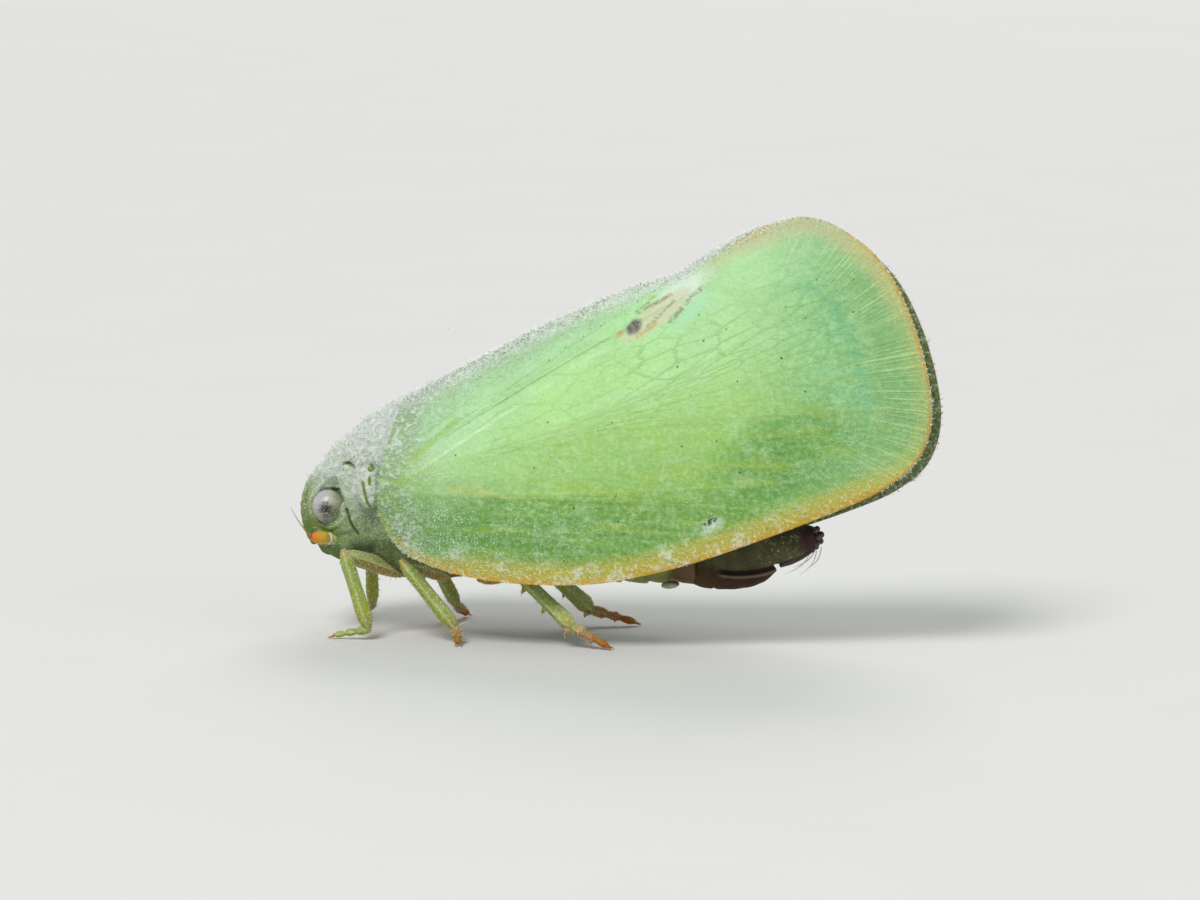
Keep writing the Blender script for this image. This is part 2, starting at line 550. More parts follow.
# The margin: orange-yellow and granular below, a thin orange line behind, pinkish-beige on the hump.
speckle = place.noise(24, 3, 0.7)
costal = share.rise(0.56, 0.62)
hump = share.rise(0.18, 0.24) * share.rise(0.5, 0.4) * x.rise(1.0, 1.7)
ragged = rim + tremble * 0.14
narrow = 0.3 + 0.7 * x.rise(-2.7, -1.6)
edge = (ragged / narrow).rise(0.42, 0.13) * costal * x.rise(-2.95, -2.75)
clumps = ((rim + wobble * 0.3).rise(0.5, 0.12) * share.rise(0.62, 0.68) * patchy.rise(0.5, 0.6)
          * fine.rise(0.4, 0.52))
behind = share.rise(0.36, 0.42) * share.rise(0.64, 0.58)
green = green.coated(
    (edge * speckle.rise(0.26, 0.44) * 0.9, (0.58, 0.49, 0.07)),
    (ragged.rise(0.12, 0.03) * costal * 0.92, (0.62, 0.38, 0.04)),
    (edge * speckle.rise(0.54, 0.66) * 0.8, (0.86, 0.84, 0.62)),
    ((ragged + wobble * 0.3).rise(0.38, 0.08) * hump * (0.45 + 0.45 * speckle.rise(0.36, 0.56)),
     (0.58, 0.57, 0.34)),
    ((ragged + wobble * 0.3).rise(0.26, 0.06) * hump * speckle.rise(0.5, 0.65) * 0.45, (0.62, 0.52, 0.36)),
    (ragged.rise(0.2, 0.04) * hump * place.noise(2.6, 2).rise(0.52, 0.6) * speckle.rise(0.38, 0.58) * 0.55,
     (0.68, 0.44, 0.16)),
    (clumps * 0.6, (0.8, 0.88, 0.74)),
    (ragged.rise(0.34, 0.08) * behind * (0.25 + 0.5 * fan), (0.58, 0.62, 0.14)),
    (ragged.rise(0.085, 0.02) * behind * speckle.rise(0.22, 0.5) * 0.85, (0.66, 0.4, 0.09)),
    (ragged.rise(0.16, 0.02) * behind * speckle.rise(0.54, 0.66) * 0.6, (0.8, 0.82, 0.6)))

# Scars: a dry cream patch with brown streaks below the back, and a small dark one near the lower edge.
halo = spot_mask(x, z, (0.95, 4.98), (0.62, 0.3), 35, 0.8, wobble)
aqua = spot_mask(x, z, (1.1, 4.66), (0.62, 0.14), 44, 0.8, wobble)
scar = spot_mask(x, z, (0.62, 4.62), (0.66, 0.17), 40, 0.3, wobble * 0.5)
streaks = 0.0
for start, end, half in (
        ((0.33, 4.62), (0.69, 4.83), 0.035), ((0.69, 4.83), (0.78, 4.89), 0.03),
        ((0.5, 4.46), (0.84, 4.79), 0.022), ((0.82, 4.54), (0.96, 4.71), 0.045),
        ((1.02, 4.78), (1.12, 4.9), 0.035), ((1.12, 4.9), (1.24, 5.0), 0.04),
        ((0.31, 4.64), (0.48, 4.77), 0.018)):
    streaks = line_mask(x + tremble * 0.11, z + wobble * 0.05, start, end,
                        half * 1.15).maths("MAXIMUM", streaks)
astray = x + tremble * 0.08
gilt = (line_mask(astray, z, (0.35, 4.31), (0.6, 4.5), 0.045)
        + line_mask(astray, z, (0.5, 4.82), (0.56, 4.86), 0.035))
blot = spot_mask(x, z, (0.3, 4.44), (0.17, 0.115), 42, 0.55, wobble * 0.8)
burn = spot_mask(x, z, (0.1, 4.33), (0.11, 0.045), 40, 0.7, wobble * 0.4)
bruise_halo = spot_mask(x, z, (1.5, 1.78), (0.26, 0.15), 40, 0.9, wobble)
bruise = spot_mask(x, z, (1.485, 1.84), (0.135, 0.05), 27, 0.5, wobble)
green = green.coated(
    (left * halo * 0.85, (0.76, 0.88, 0.76)),
    (aqua * 0.65, (0.44, 0.82, 0.52)),
    (left * scar * 0.85, (0.66, 0.68, 0.45)),
    (left * streaks * (fine * 0.5 + speckle * 0.5).rise(0.4, 0.56) * 0.72, (0.26, 0.21, 0.17)),
    (left * gilt.capped() * fine.rise(0.34, 0.52) * 0.7, (0.5, 0.44, 0.12)),
    (left * blot * 0.95, fine.ramp((0.35, (0.09, 0.08, 0.07)), (0.65, (0.3, 0.28, 0.26)))),
    (left * burn * 0.9, (0.6, 0.46, 0.16)),
    (left * bruise_halo * (0.45 + fine.rise(0.4, 0.55) * 0.35), (0.66, 0.82, 0.68)),
    (left * bruise * (speckle * 0.7 + fine * 0.3).rise(0.58, 0.46) * 0.95, (0.075, 0.055, 0.045)))

beneath = fine.ramp((0.35, (0.06, 0.12, 0.03)), (0.62, (0.15, 0.24, 0.09))).coated(
    ((speckle * 0.6 + mottle * 0.4).rise(0.48, 0.6) * (0.25 + 0.5 * rim.rise(0.3, 0.05)), (0.52, 0.6, 0.42)))
green = green.coated((inner * 0.94, beneath))

height = (web_line * 0.25 + big_line * 0.15 + veinlet * 0.25 + subapical * 0.1 + bloom * 0.5 + grains * 0.9
          + fine * 0.75 + patchy * 0.8 + mottle * 0.8 + edge * speckle * 1.5 - lime * 0.25 + pale * 0.15
          - left * blot * 0.6 - left * streaks * 0.3 + root_wax * 0.8 + back_wax * fine)
wear(wing_green, green, 0.42 + bloom * 0.3 + grains * 0.2 + fine * 0.1, height, 0.022, 0.9)

wing_shares = np.unique(np.round(np.concatenate(
    [np.linspace(0, 1, 215)] + [end + 0.0022 * np.array([-2, -1, 0, 1, 2]) for end in VEIN_ENDS]), 5))
forewings = {}
for side, word in SIDES:
    skin = droop(wing_bmesh(wing_shares, WING_ROWS), side)
    forewings[side] = finished(skin, "forewing_skin_" + word, wing_green, side, slot="tegmen",
                               replaced=["forewing_" + word])

# Hindwings: thin milky membranes folded flat under the forewings, of which only a rim shows from
# behind and below. They are a little shorter than the forewings.
HINDWING_ROWS, HINDWING_REACH = 40, 0.9
UNDER_FOREWING = 0.13  # how far in from the forewing it lies
milk, place = finish("hindwing_milk", Specular_IOR_Level=0.4)
share, along, vein = place.attributes("share", "along", "vein")
pleats = (share * 150).maths("SINE").rise(0.6, 1.0)
ribs = place.joined(share * 22, along * 5, 1.3).cells("DISTANCE_TO_EDGE", 1.0).rise(0.07, 0.0)
white = place.noise(2, 3).ramp((0.3, (0.62, 0.68, 0.6)), (0.7, (0.74, 0.78, 0.72)))
white = white.coated(((vein.rise(0.05, 0.01) + ribs).capped() * 0.5, (0.5, 0.52, 0.36)))
wear(milk, white, 0.35, pleats * 0.5 + ribs + place.noise(20, 2) * 0.3, 0.01, 0.7)
hind_shares = np.linspace(0.14, 0.94, 84)
for side, word in SIDES:
    sheet = wing_bmesh(hind_shares, HINDWING_ROWS, UNDER_FOREWING, HINDWING_REACH)
    finished(droop(sheet, side), "hindwing_" + word, milk, side, slot="tegmen")

# Body: head, collar, shield, wing bases and thorax in one soft cuticle, pale green under powdery
# wax. It is cast from rounded forms that melt into one another, then scored with its sutures.
BODY_VOXEL = 0.018


def rounded_block(bm, centre, radii, tilt, power, segments=48, rings=32):
    """Adds a rounded block, tilted about Y so that its rear lifts. Power 2 is a ball, a greater one a box."""
    made = bmesh.ops.create_uvsphere(bm, u_segments=segments, v_segments=rings, radius=1)
    turn = Matrix.Rotation(math.radians(-tilt), 3, "Y")
    for vert in made["verts"]:
        unit = [math.copysign(abs(value) ** (2 / power), value) for value in vert.co]
        vert.co = turn @ Vector([radius * value for radius, value in zip(radii, unit)]) + Vector(centre)


def sliced(bm, point, normal):
    """Cuts off what lies past a plane and closes the cut."""
    cut = bmesh.ops.bisect_plane(bm, geom=bm.verts[:] + bm.edges[:] + bm.faces[:], dist=0.0001,
                                 plane_co=point, plane_no=normal, clear_outer=True)
    rim_edges = [item for item in cut["geom_cut"] if isinstance(item, bmesh.types.BMEdge)]
    bmesh.ops.contextual_create(bm, geom=rim_edges)


def taken_in(target, source):
    """Adds one bmesh to another."""
    held = bpy.data.meshes.new("held")
    source.to_mesh(held)
    source.free()
    target.from_mesh(held)
    bpy.data.meshes.remove(held)


def melted(bm, voxel):
    """One closed skin over all the forms in the mesh, with its dips filled and its steps softened."""
    mesh = bpy.data.meshes.new("melted")
    bm.to_mesh(mesh)
    bm.free()
    obj = bpy.data.objects.new("melted", mesh)
    bpy.context.scene.collection.objects.link(obj)
    remesh = obj.modifiers.new("Remesh", "REMESH")
    remesh.mode, remesh.voxel_size = "VOXEL", voxel
    skin = bmesh.new()
    skin.from_mesh(bpy.data.meshes.new_from_object(obj.evaluated_get(bpy.context.evaluated_depsgraph_get())))
    bpy.data.objects.remove(obj, do_unlink=True)
    for _ in range(2):
        bmesh.ops.smooth_vert(skin, verts=skin.verts, factor=0.5, use_axis_x=True, use_axis_y=True,
                              use_axis_z=True)
    return skin


bm = bmesh.new()
for block in (((-3.95, 0, 1.72), (0.54, 0.6, 0.68), 0, 2.2), ((-4.05, 0, 1.22), (0.33, 0.27, 0.2), -44, 2.0),
              ((-4.13, 0, 1.22), (0.19, 0.27, 0.2), 0, 2.0, 24, 16)):
    rounded_block(bm, *block)
# collar, shield and chest, with the planes that cut them off
for block, planes in (
        (((-3.6, 0, 1.9), (0.68, 0.84, 0.86), 0, 2.2),
         (((-3.95, 0, 2.64), (1, 0, 1.02)), ((-3.28, 0, 0), (1, 0, 0)), ((-3.6, 0, 1.46), (0.35, 0, -1)))),
        (((-3.05, 0, 2.6), (1.18, 0.84, 0.6), 32, 2.2), ()),
        (((-2.65, 0, 1.62), (1.2, 0.84, 0.84), 0, 2.5), (((-1.62, 0, 0), (1, 0, 0)),))):
    form = bmesh.new()
    rounded_block(form, *block)
    for plane in planes:
        sliced(form, *plane)
    taken_in(bm, form)
# wing bases, rims of the face, cheeks below the eyes and sockets of the feelers
face_rim = [((-3.95 - 0.485 * math.cos(angle), -0.33, 1.72 + 0.6 * math.sin(angle)),
             (0.06, 0.07, 0.09), 0, 2.0, 10, 8)
            for angle in map(math.radians, range(-45, 76, 10))]
for side in (1, -1):
    for (ahead, aside, above), *shape in (
            ((-3.37, -0.92, 2.14), (0.19, 0.2, 0.3), 12, 2.0, 24, 16), *face_rim,
            ((-4.0, -0.46, 1.4), (0.22, 0.14, 0.11), 0, 2.0, 20, 12),
            ((-3.88, -0.5, 1.3), (0.13, 0.12, 0.11), 0, 2.0, 16, 12),
            ((-3.66, -0.5, 1.34), (0.24, 0.24, 0.17), 0, 2.2, 24, 16),
            ((-3.48, -0.6, 1.38), (0.24, 0.18, 0.15), 0, 2.2, 24, 16)):
        rounded_block(bm, (ahead, aside * side, above), *shape)
body = melted(bm, BODY_VOXEL)

# Sutures and rims on the side: points in x and z, half width, height, and what they are. Grooves are
# yellow-green, slits dark, rims whitish.
SCORES = (
    (((-3.97, 2.04), (-3.89, 2.03), (-3.81, 1.99), (-3.76, 1.92)), 0.036, -0.034, "groove"),
    (((-3.8, 2.44), (-3.69, 2.43), (-3.62, 2.39), (-3.57, 2.33)), 0.026, -0.034, "groove"),
    (((-3.4, 2.23), (-3.38, 2.14), (-3.35, 1.97), (-3.32, 1.88)), 0.028, -0.03, "groove"),
    (((-4.25, 1.6), (-4.19, 1.51), (-4.1, 1.47)), 0.036, -0.016, "groove"),
    (((-4.1, 1.47), (-3.99, 1.46), (-3.87, 1.53)), 0.024, -0.012, "groove"),
    (((-3.35, 2.43), (-3.31, 2.39)), 0.024, -0.02, "groove"),
    (((-3.31, 2.29), (-3.3, 2.22)), 0.026, -0.02, "groove"),
    (((-3.7, 1.81), (-3.68, 1.73), (-3.65, 1.62), (-3.61, 1.53), (-3.56, 1.46)), 0.025, -0.024, "slit"),
    (((-3.94, 2.04), (-3.86, 2.03), (-3.8, 1.98), (-3.77, 1.93)), 0.016, -0.012, "slit"),
    (((-3.76, 2.45), (-3.69, 2.44), (-3.63, 2.4), (-3.59, 2.36)), 0.014, -0.008, "slit"),
    (((-3.57, 2.43), (-3.5, 2.36), (-3.46, 2.27), (-3.49, 2.15), (-3.51, 2.05), (-3.53, 1.96)),
     0.034, 0.038, "rim"),
    (((-3.86, 2.42), (-3.73, 2.36), (-3.62, 2.32), (-3.54, 2.24)), 0.018, 0.014, "rim"),
    (((-3.75, 2.25), (-3.64, 2.28), (-3.55, 2.2), (-3.53, 2.11)), 0.015, 0.012, "rim"),
    (((-3.73, 2.05), (-3.68, 1.99), (-3.6, 2.05)), 0.045, 0.022, "rim"),
    (((-3.95, 2.6), (-3.74, 2.58), (-3.6, 2.5)), 0.045, 0.018, "rim"),
    (((-4.02, 2.07), (-3.95, 2.09)), 0.03, 0.018, "rim"),
    (((-2.9, 3.2), (-3.05, 2.9), (-3.15, 2.6), (-3.22, 2.36)), 0.07, 0.03, "rim"))


def stroke(points, half, px, pz):
    """How strongly a stroke through points is felt at each place, from 0 to 1."""
    dots = along_path(smooth_path(points, 6), np.linspace(0, 1, 30))
    return bell(np.min([np.hypot(px - dot_x, pz - dot_z) for dot_x, dot_z in dots], axis=0), half)


body.normal_update()
spots = np.array([vert.co for vert in body.verts])
normals = np.array([vert.normal for vert in body.verts])
sx, sy, sz = spots.T
# the head stands clear round each eye, so that the ball shows whole
eye_side = np.hypot(sx - EYE_X, sz - EYE_Z)
to_cheek = (sx - EYE_X - sz + EYE_Z) / 1.414 / np.maximum(eye_side, 0.05)
orbit = 0.5 + 0.8 * np.maximum(eye_side - 0.22, 0)
orbit += (0.17 * eased((to_cheek - 0.25) / 0.6) * eased((eye_side - 0.1) / 0.1)
          + 0.6 * eased((sx + 3.88) / 0.26))
near_eye = (eye_side < 0.55) & (sx < -3.62)
sy[:] = np.where(near_eye, np.sign(sy) * np.minimum(abs(sy), orbit), sy)
flank = eased((abs(sy) - 0.25) / 0.25)
felt = dict(groove=0, slit=0, rim=0)
lift = 0
for points, half, height, kind in SCORES:
    strength = stroke(points, half, sx, sz) * flank
    felt[kind] = np.maximum(felt[kind], strength)
    lift = lift + strength * height
# the seam between head and collar, the three keels of the shield and the pale rim round each eye
seam = bell(sx - (-3.78 + 0.25 * (2.3 - sz)), 0.03) * eased((sz - 1.9) / 0.2) * (1 - eased((sx + 3.5) / 0.1))
keels = bell(sy, 0.03) + bell(abs(sy) - 0.34, 0.03)
keels = keels * eased((sz - 2.55) / 0.2) * eased((sx + 3.75) / 0.2)
face = eased((-4.12 - sx) / 0.1)
brow = bell(sy, 0.022) * eased((sz - 1.3) / 0.1)
brow += bell(abs(sy) - 0.2 - 0.05 * (2.0 - sz), 0.022) * eased((sz - 1.55) / 0.2) * 0.6
chin_seam = bell(sz - 1.27 - 0.35 * sy**2, 0.022) * (abs(sy) < 0.3)
eye_rim = bell(eye_side - 0.285, 0.03) * flank * (sx < -3.7) * (sz > 1.35)
felt["rim"] = np.maximum(felt["rim"], 0.6 * keels)
lift = lift - 0.02 * seam + 0.022 * keels + 0.024 * eye_rim + face * (0.016 * brow - 0.022 * chin_seam)
# crumbs of wax stand out all over the shield and collar
waxy = 0.55 + 0.45 * eased((sz - 1.9) / 0.7)
crumbs = np.array([noise.fractal(Vector(spot) * 13.0, 0.8, 2.1, 3) for spot in spots.tolist()])
lift = lift + 0.017 * crumbs * waxy * (1 - felt["slit"]) * (1 - 0.7 * felt["groove"])
spots = spots + normals * lift[:, None]
# the body stays inside the wings
sx, sy, sz = spots.T
room = wing_face(sx, sz) - 0.12 + 0.5 * eased((-3.0 - sx) / 0.25)
inside = (sx > -3.25) & (sz > 0.8)
sy[:] = np.sign(sy) * np.where(inside, np.minimum(abs(sy), room), abs(sy))
for kind, strengths in (*felt.items(), ("eye_rim", eye_rim), ("crumb", crumbs)):
    layer = body.verts.layers.float.new(kind)
    for vert, strength in zip(body.verts, strengths):
        vert[layer] = strength
for vert, spot in zip(body.verts, spots):
    vert.co = spot

cuticle, place = finish("waxed_cuticle", Specular_IOR_Level=0.2, Subsurface_Weight=0.1,
                        Subsurface_Scale=0.0002)
x, _, z = place.parts()
groove, slit, rimmed, eye_ring, crumb = place.attributes("groove", "slit", "rim", "eye_rim", "crumb")
clouds, fine, crumbs = place.noise(4.5, 4, 0.65), place.noise(26, 4, 0.8), place.cells("F1", 24.0)
fleck = place.noise(11, 5, 0.8)
skin = clouds.ramp((0.34, (0.22, 0.36, 0.08)), (0.52, (0.3, 0.44, 0.17)), (0.68, (0.38, 0.52, 0.28)))
white_zone = (z.rise(1.8, 2.45) + x.rise(-3.8, -3.5) * z.rise(1.65, 1.95) * 0.6).capped()
dim = (z.rise(1.3, 1.7) * 0.7 + 0.3) * (1.0 - x.rise(-4.08, -4.3) * z.rise(1.85, 1.6) * 0.7)
powder = (fleck * 0.75 + crumb * 0.16 + 0.08 + white_zone * 0.08).rise(0.4, 0.6)
skin = skin.coated(
    (fleck.rise(0.46, 0.34) * 0.45, (0.3, 0.44, 0.06)),
    (z.rise(1.25, 0.9) * x.rise(-4.0, -3.6) * 0.85, (0.32, 0.2, 0.03)),
    (z.rise(1.5, 1.15) * x.rise(-3.7, -4.0) * 0.88, (0.12, 0.195, 0.02)),
    (x.rise(-4.1, -4.36) * z.rise(2.2, 1.9) * 0.7, (0.25, 0.36, 0.08)),
    (z.rise(1.52, 1.3) * x.rise(-3.8, -3.6) * x.rise(-2.9, -3.1) * 0.8, (0.1, 0.14, 0.035)),
    (eye_ring.rise(0.2, 0.7) * fine.rise(0.4, 0.52) * z.rise(1.5, 1.75) * 0.75, (0.68, 0.78, 0.58)),
    (white_zone * 0.84, (0.66, 0.83, 0.63)),
    (z.rise(2.45, 2.9) * 0.8, (0.84, 0.97, 0.9)),
    (x.rise(-3.45, -3.2) * z.rise(2.9, 2.4) * z.rise(1.5, 1.8) * 0.6, (0.5, 0.72, 0.42)),
    (powder * (white_zone * 0.6 + 0.24) * dim, (0.9, 0.98, 0.9)),
    (fine.rise(0.52, 0.62) * (white_zone * 0.3 + 0.5) * dim, (0.84, 0.92, 0.78)),
    (crumbs.rise(0.36, 0.14) * fine.rise(0.38, 0.5) * (white_zone * 0.15 + 0.85) * dim, (0.95, 0.98, 0.94)),
    (fine.rise(0.46, 0.33) * (0.42 - white_zone * 0.28), (0.2, 0.3, 0.1)),
    (x.rise(-4.05, -4.3) * z.rise(1.75, 1.45) * 0.5, (0.09, 0.15, 0.015)),
    (rimmed.rise(0.35, 0.8) * 0.75, (0.74, 0.84, 0.72)),
    (groove.rise(0.3, 0.75) * fine.rise(0.22, 0.42) * 0.92, (0.24, 0.36, 0.02)),
    (slit.rise(0.3, 0.75) * 0.88, (0.1, 0.115, 0.015)))
height = powder * 0.5 + crumbs.rise(0.4, 0.1) * 0.8 + fine * 1.2 + fleck * 0.8
wear(cuticle, skin, 0.6 + powder * 0.25, height, 0.024, 1.0)
body_skin = finished(body, "body_skin", cuticle, slot="waxed_cuticle", replaced=[
    "head", "clypeus", "pronotum", "mesonotum", "tegula_left", "tegula_right", "thorax"])

# Eyes: a ball of some two and a half thousand small domed facets, greyish lilac above and yellowish
# behind, with a dark dotted patch where the facets look straight out to the side.
EYE_RADII = (0.218, 0.2, 0.238)
FACET_REACH, FACET_DOME = 0.042, 0.016  # both as shares of the ball's radius
lens, place = finish("eye_facets", Specular_IOR_Level=0.5, Coat_Weight=0.12, Coat_Roughness=0.3)
x, y, z = place.parts()
facet, tone = place.attributes("facet", "tone")
side_y = abs(y)
odd = place.noise(15, 3, 0.7)
shell = (z - x * 0.35 + odd * 0.12 - 0.06).rise(2.95, 3.42).ramp(
    (0.0, (0.2, 0.19, 0.19)), (0.45, (0.45, 0.45, 0.39)), (1.0, (0.62, 0.6, 0.62)))
pupil = spot_mask(x, z, (-4.01, 1.775), (0.19, 0.21), 60, 0.9) * side_y.rise(0.58, 0.7)
core = spot_mask(x, z, (-4.01, 1.785), (0.085, 0.095), 60, 0.8)
shell = shell.coated(
    (x.rise(-4.08, -3.88) * 0.6, (0.48, 0.53, 0.3)),
    (facet.rise(0.6, 1.0) * 0.7, 0.4),
    (tone.rise(0.55, 1.0) * 0.5, (0.74, 0.74, 0.6)),
    (tone.rise(0.45, 0.0) * 0.35, 0.55),
    ((tone * 0.55 + pupil * 0.75 + odd * 0.25).rise(0.72, 0.86) * 0.75, (0.05, 0.045, 0.04)),
    (tone.rise(0.3, 0.1) * facet.rise(0.95, 0.55) * pupil * 0.75, (0.7, 0.7, 0.5)),
    (core * side_y.rise(0.6, 0.7) * (tone + odd).rise(0.55, 0.75) * 0.95, (0.008, 0.006, 0.01)))
wear(lens, shell, 0.36, place.noise(40, 2), 0.002, 0.5)
seeds = bmesh.new()
bmesh.ops.create_icosphere(seeds, subdivisions=5, radius=1)
tree = kdtree.KDTree(len(seeds.verts))
for number, seed in enumerate(seeds.verts):
    tree.insert(seed.co, number)
tree.balance()
tones = np.random.default_rng(5).random(len(seeds.verts))
seeds.free()
for side, word in SIDES:
    bm = bmesh.new()
    bmesh.ops.create_icosphere(bm, subdivisions=6, radius=1)
    facet_layer, tone_layer = bm.verts.layers.float.new("facet"), bm.verts.layers.float.new("tone")
    for vert in bm.verts:
        _, number, far = tree.find(vert.co)
        far /= FACET_REACH
        vert[facet_layer], vert[tone_layer] = far, tones[number]
        dome = 1 + FACET_DOME * (1 - min(far, 1.0) ** 2)
        narrowed = 1 - 0.1 * eased((-0.1 - vert.co.z) / 0.9)
        rx, ry, rz = EYE_RADII
        vert.co = Vector((rx * vert.co.x * narrowed, ry * vert.co.y, rz * vert.co.z)) * dome + EYE_PLACE
    finished(bm, "eye_ball_" + word, lens, side, slot="eye", replaced=["eye_" + word])

# Legs: thin jointed tubes of yellow-green cuticle with raised edges, orange at the knees and toes.
# The hind shins carry teeth, and each foot ends in three short joints with two claws.
LEGS = dict(
    fore=((-3.15, -0.34, 1.2), (-3.1, -0.45, 0.88), (-3.7, -0.98, 1.22), (-3.36, -0.95, 0.15),
          (-3.86, -0.96, 0.055)),
    mid=((-2.45, -0.34, 1.2), (-2.4, -0.45, 0.86), (-2.86, -0.98, 1.12), (-2.12, -0.9, 0.19),
         (-2.03, -1.17, 0.055)),
    hind=((-1.9, -0.34, 1.2), (-1.85, -0.45, 0.84), (-1.29, -0.66, 0.96), (-0.45, -0.93, 0.29),
          (0.06, -0.99, 0.055)))
# how far the right legs' knee, ankle and toe stand from the left ones'
RIGHT_STEP = dict(fore=((-0.12, 0, 0), (-0.42, 0, 0), (-0.14, -0.36, 0)),
                  mid=((-0.2, 0, 0), (-0.42, 0, 0), (-0.44, 0, 0)),
                  hind=((0, 0.02, -0.06), (-0.17, 0.02, -0.07), (-0.06, 0, 0)))
SHIN_TEETH, TOE_TEETH = (0.18, 0.55, 0.97), (0.25, 0.55)  # shares of the hind shin and foot
BONE_STEPS = 14


def limb(bm, points, radii, stages, sides=16, edges=0.06, flat=1.0):
    """A jointed tube through points, each with its radius; stages go to the layer that colours it."""
    layer = bm.verts.layers.float.get("stage") or bm.verts.layers.float.new("stage")
    keel_layer = bm.verts.layers.float.get("keel") or bm.verts.layers.float.new("keel")
    points = [Vector(point) for point in points]
    turn = (points[1] - points[0]).to_track_quat("Z", "Y")
    rings, tangent = [], (points[1] - points[0]).normalized()
    for number, (point, radius, stage) in enumerate(zip(points, radii, stages)):
        before, after = points[max(number - 1, 0)], points[min(number + 1, len(points) - 1)]
        heading = (after - before).normalized()
        turn = tangent.rotation_difference(heading) @ turn
        tangent = heading
        made = bmesh.ops.create_circle(bm, cap_ends=False, segments=sides, radius=1)
        for vert in made["verts"]:
            angle = math.atan2(vert.co.y, vert.co.x)
            reach = radius * (1 + edges * math.cos(4 * angle))
            vert.co = point + turn @ Vector((vert.co.x * reach, vert.co.y * reach * flat, 0))
            vert[layer], vert[keel_layer] = stage, math.cos(4 * angle)
        rings.append({edge for vert in made["verts"] for edge in vert.link_edges})
    for first, second in zip(rings, rings[1:]):
        bmesh.ops.bridge_loops(bm, edges=list(first | second))
    bmesh.ops.contextual_create(bm, geom=list(rings[0]))
    bmesh.ops.contextual_create(bm, geom=list(rings[-1]))


def bone(bm, start, end, profile, stages, arch=(0, 0, 0), **shape):
    """One joint of a leg: profile gives its radius at even steps, arch bends it."""
    start, end, arch = Vector(start), Vector(end), Vector(arch)
    points, radii, marks = [], [], []
    for step in range(BONE_STEPS + 1):
        t = step / BONE_STEPS
        points.append(start.lerp(end, t) + arch * math.sin(math.pi * t))
        radii.append(float(np.interp(t, np.linspace(0, 1, len(profile)), profile)))
        marks.append(stages[0] + (stages[1] - stages[0]) * t)
    limb(bm, points, radii, marks, **shape)


def thorn(bm, root, tip, radius, stages):
    """A curved point, such as a tooth or claw."""
    root, tip = Vector(root), Vector(tip)
    way = tip - root
    bow = way.orthogonal().normalized() * 0.05 * way.length
    marks = [stages[0] + (stages[1] - stages[0]) * share for share in (0, 0.4, 0.8, 1)]
    limb(bm, [root, root.lerp(tip, 0.4) + bow, root.lerp(tip, 0.8) + bow * 0.6, tip],
         [radius, radius * 0.7, radius * 0.3, radius * 0.06], marks, sides=7, edges=0.0)


def leg_bmesh(which, places):
    """A leg on the left: hip ring, thigh, shin, three foot joints, two claws, and the hind leg's teeth."""
    hip, trochanter, knee, ankle, toe = (Vector(place) for place in places)
    bm = bmesh.new()
    bone(bm, hip, trochanter, (0.1, 0.12, 0.13, 0.11, 0.06), (0.0, 0.1))
    bone(bm, trochanter - (knee - trochanter) * 0.12, knee,
         (0.05, 0.1, 0.125, 0.128, 0.118, 0.105, 0.09, 0.03), (0.1, 0.45), arch=(0, 0, 0.02), flat=0.85,
         edges=0.09)
    shin = (0.03, 0.088, 0.086, 0.084, 0.086, 0.09, 0.096, 0.088, 0.03)
    if which == "hind":
        shin = (0.03, 0.085, 0.088, 0.09, 0.093, 0.096, 0.104, 0.112, 0.04)
    back = (knee - ankle).normalized()
    bone(bm, knee + back * 0.05, ankle - back * 0.03, shin, (0.45, 0.8), edges=0.16)
    joints = [ankle.lerp(toe, share) for share in (-0.04, 0.36, 0.64, 0.96)]
    sizes = ((0.05, 0.07, 0.074, 0.035), (0.04, 0.056, 0.06, 0.03), (0.032, 0.048, 0.052, 0.026))
    if which == "fore":
        sizes = [[0.82 * radius for radius in size] for size in sizes]
    first_hue, hue_step = (0.58, 0.03) if which == "fore" else (0.82, 0.06)
    for number, (start, end, size) in enumerate(zip(joints, joints[1:], sizes)):
        hue = first_hue + hue_step * number
        bone(bm, start, end + (end - start) * 0.1, size, (hue, hue + hue_step), edges=0.1)
    ahead = Vector((toe.x - ankle.x, toe.y - ankle.y, 0)).normalized()
    aside = ahead.cross(Vector((0, 0, 1))).normalized()
    for way in (-1, 1):
        root = toe - ahead * 0.02 + aside * 0.02 * way
        tip = toe + ahead * 0.08 + aside * 0.05 * way
        thorn(bm, root, (tip.x, tip.y, 0.014), 0.018, (0.94, 1.0))
    for share in SHIN_TEETH if which == "hind" else ():
        foot = knee.lerp(ankle, share)
        thorn(bm, foot + Vector((-0.02, 0, -0.03)), foot + Vector((-0.09, -0.04, -0.14)), 0.066, (0.66, 0.96))
    for share in TOE_TEETH if which == "hind" else ():
        foot = ankle.lerp(toe, share)
        thorn(bm, foot, foot + Vector((-0.025, -0.025, -0.095)), 0.036, (0.84, 1.0))
    return bm


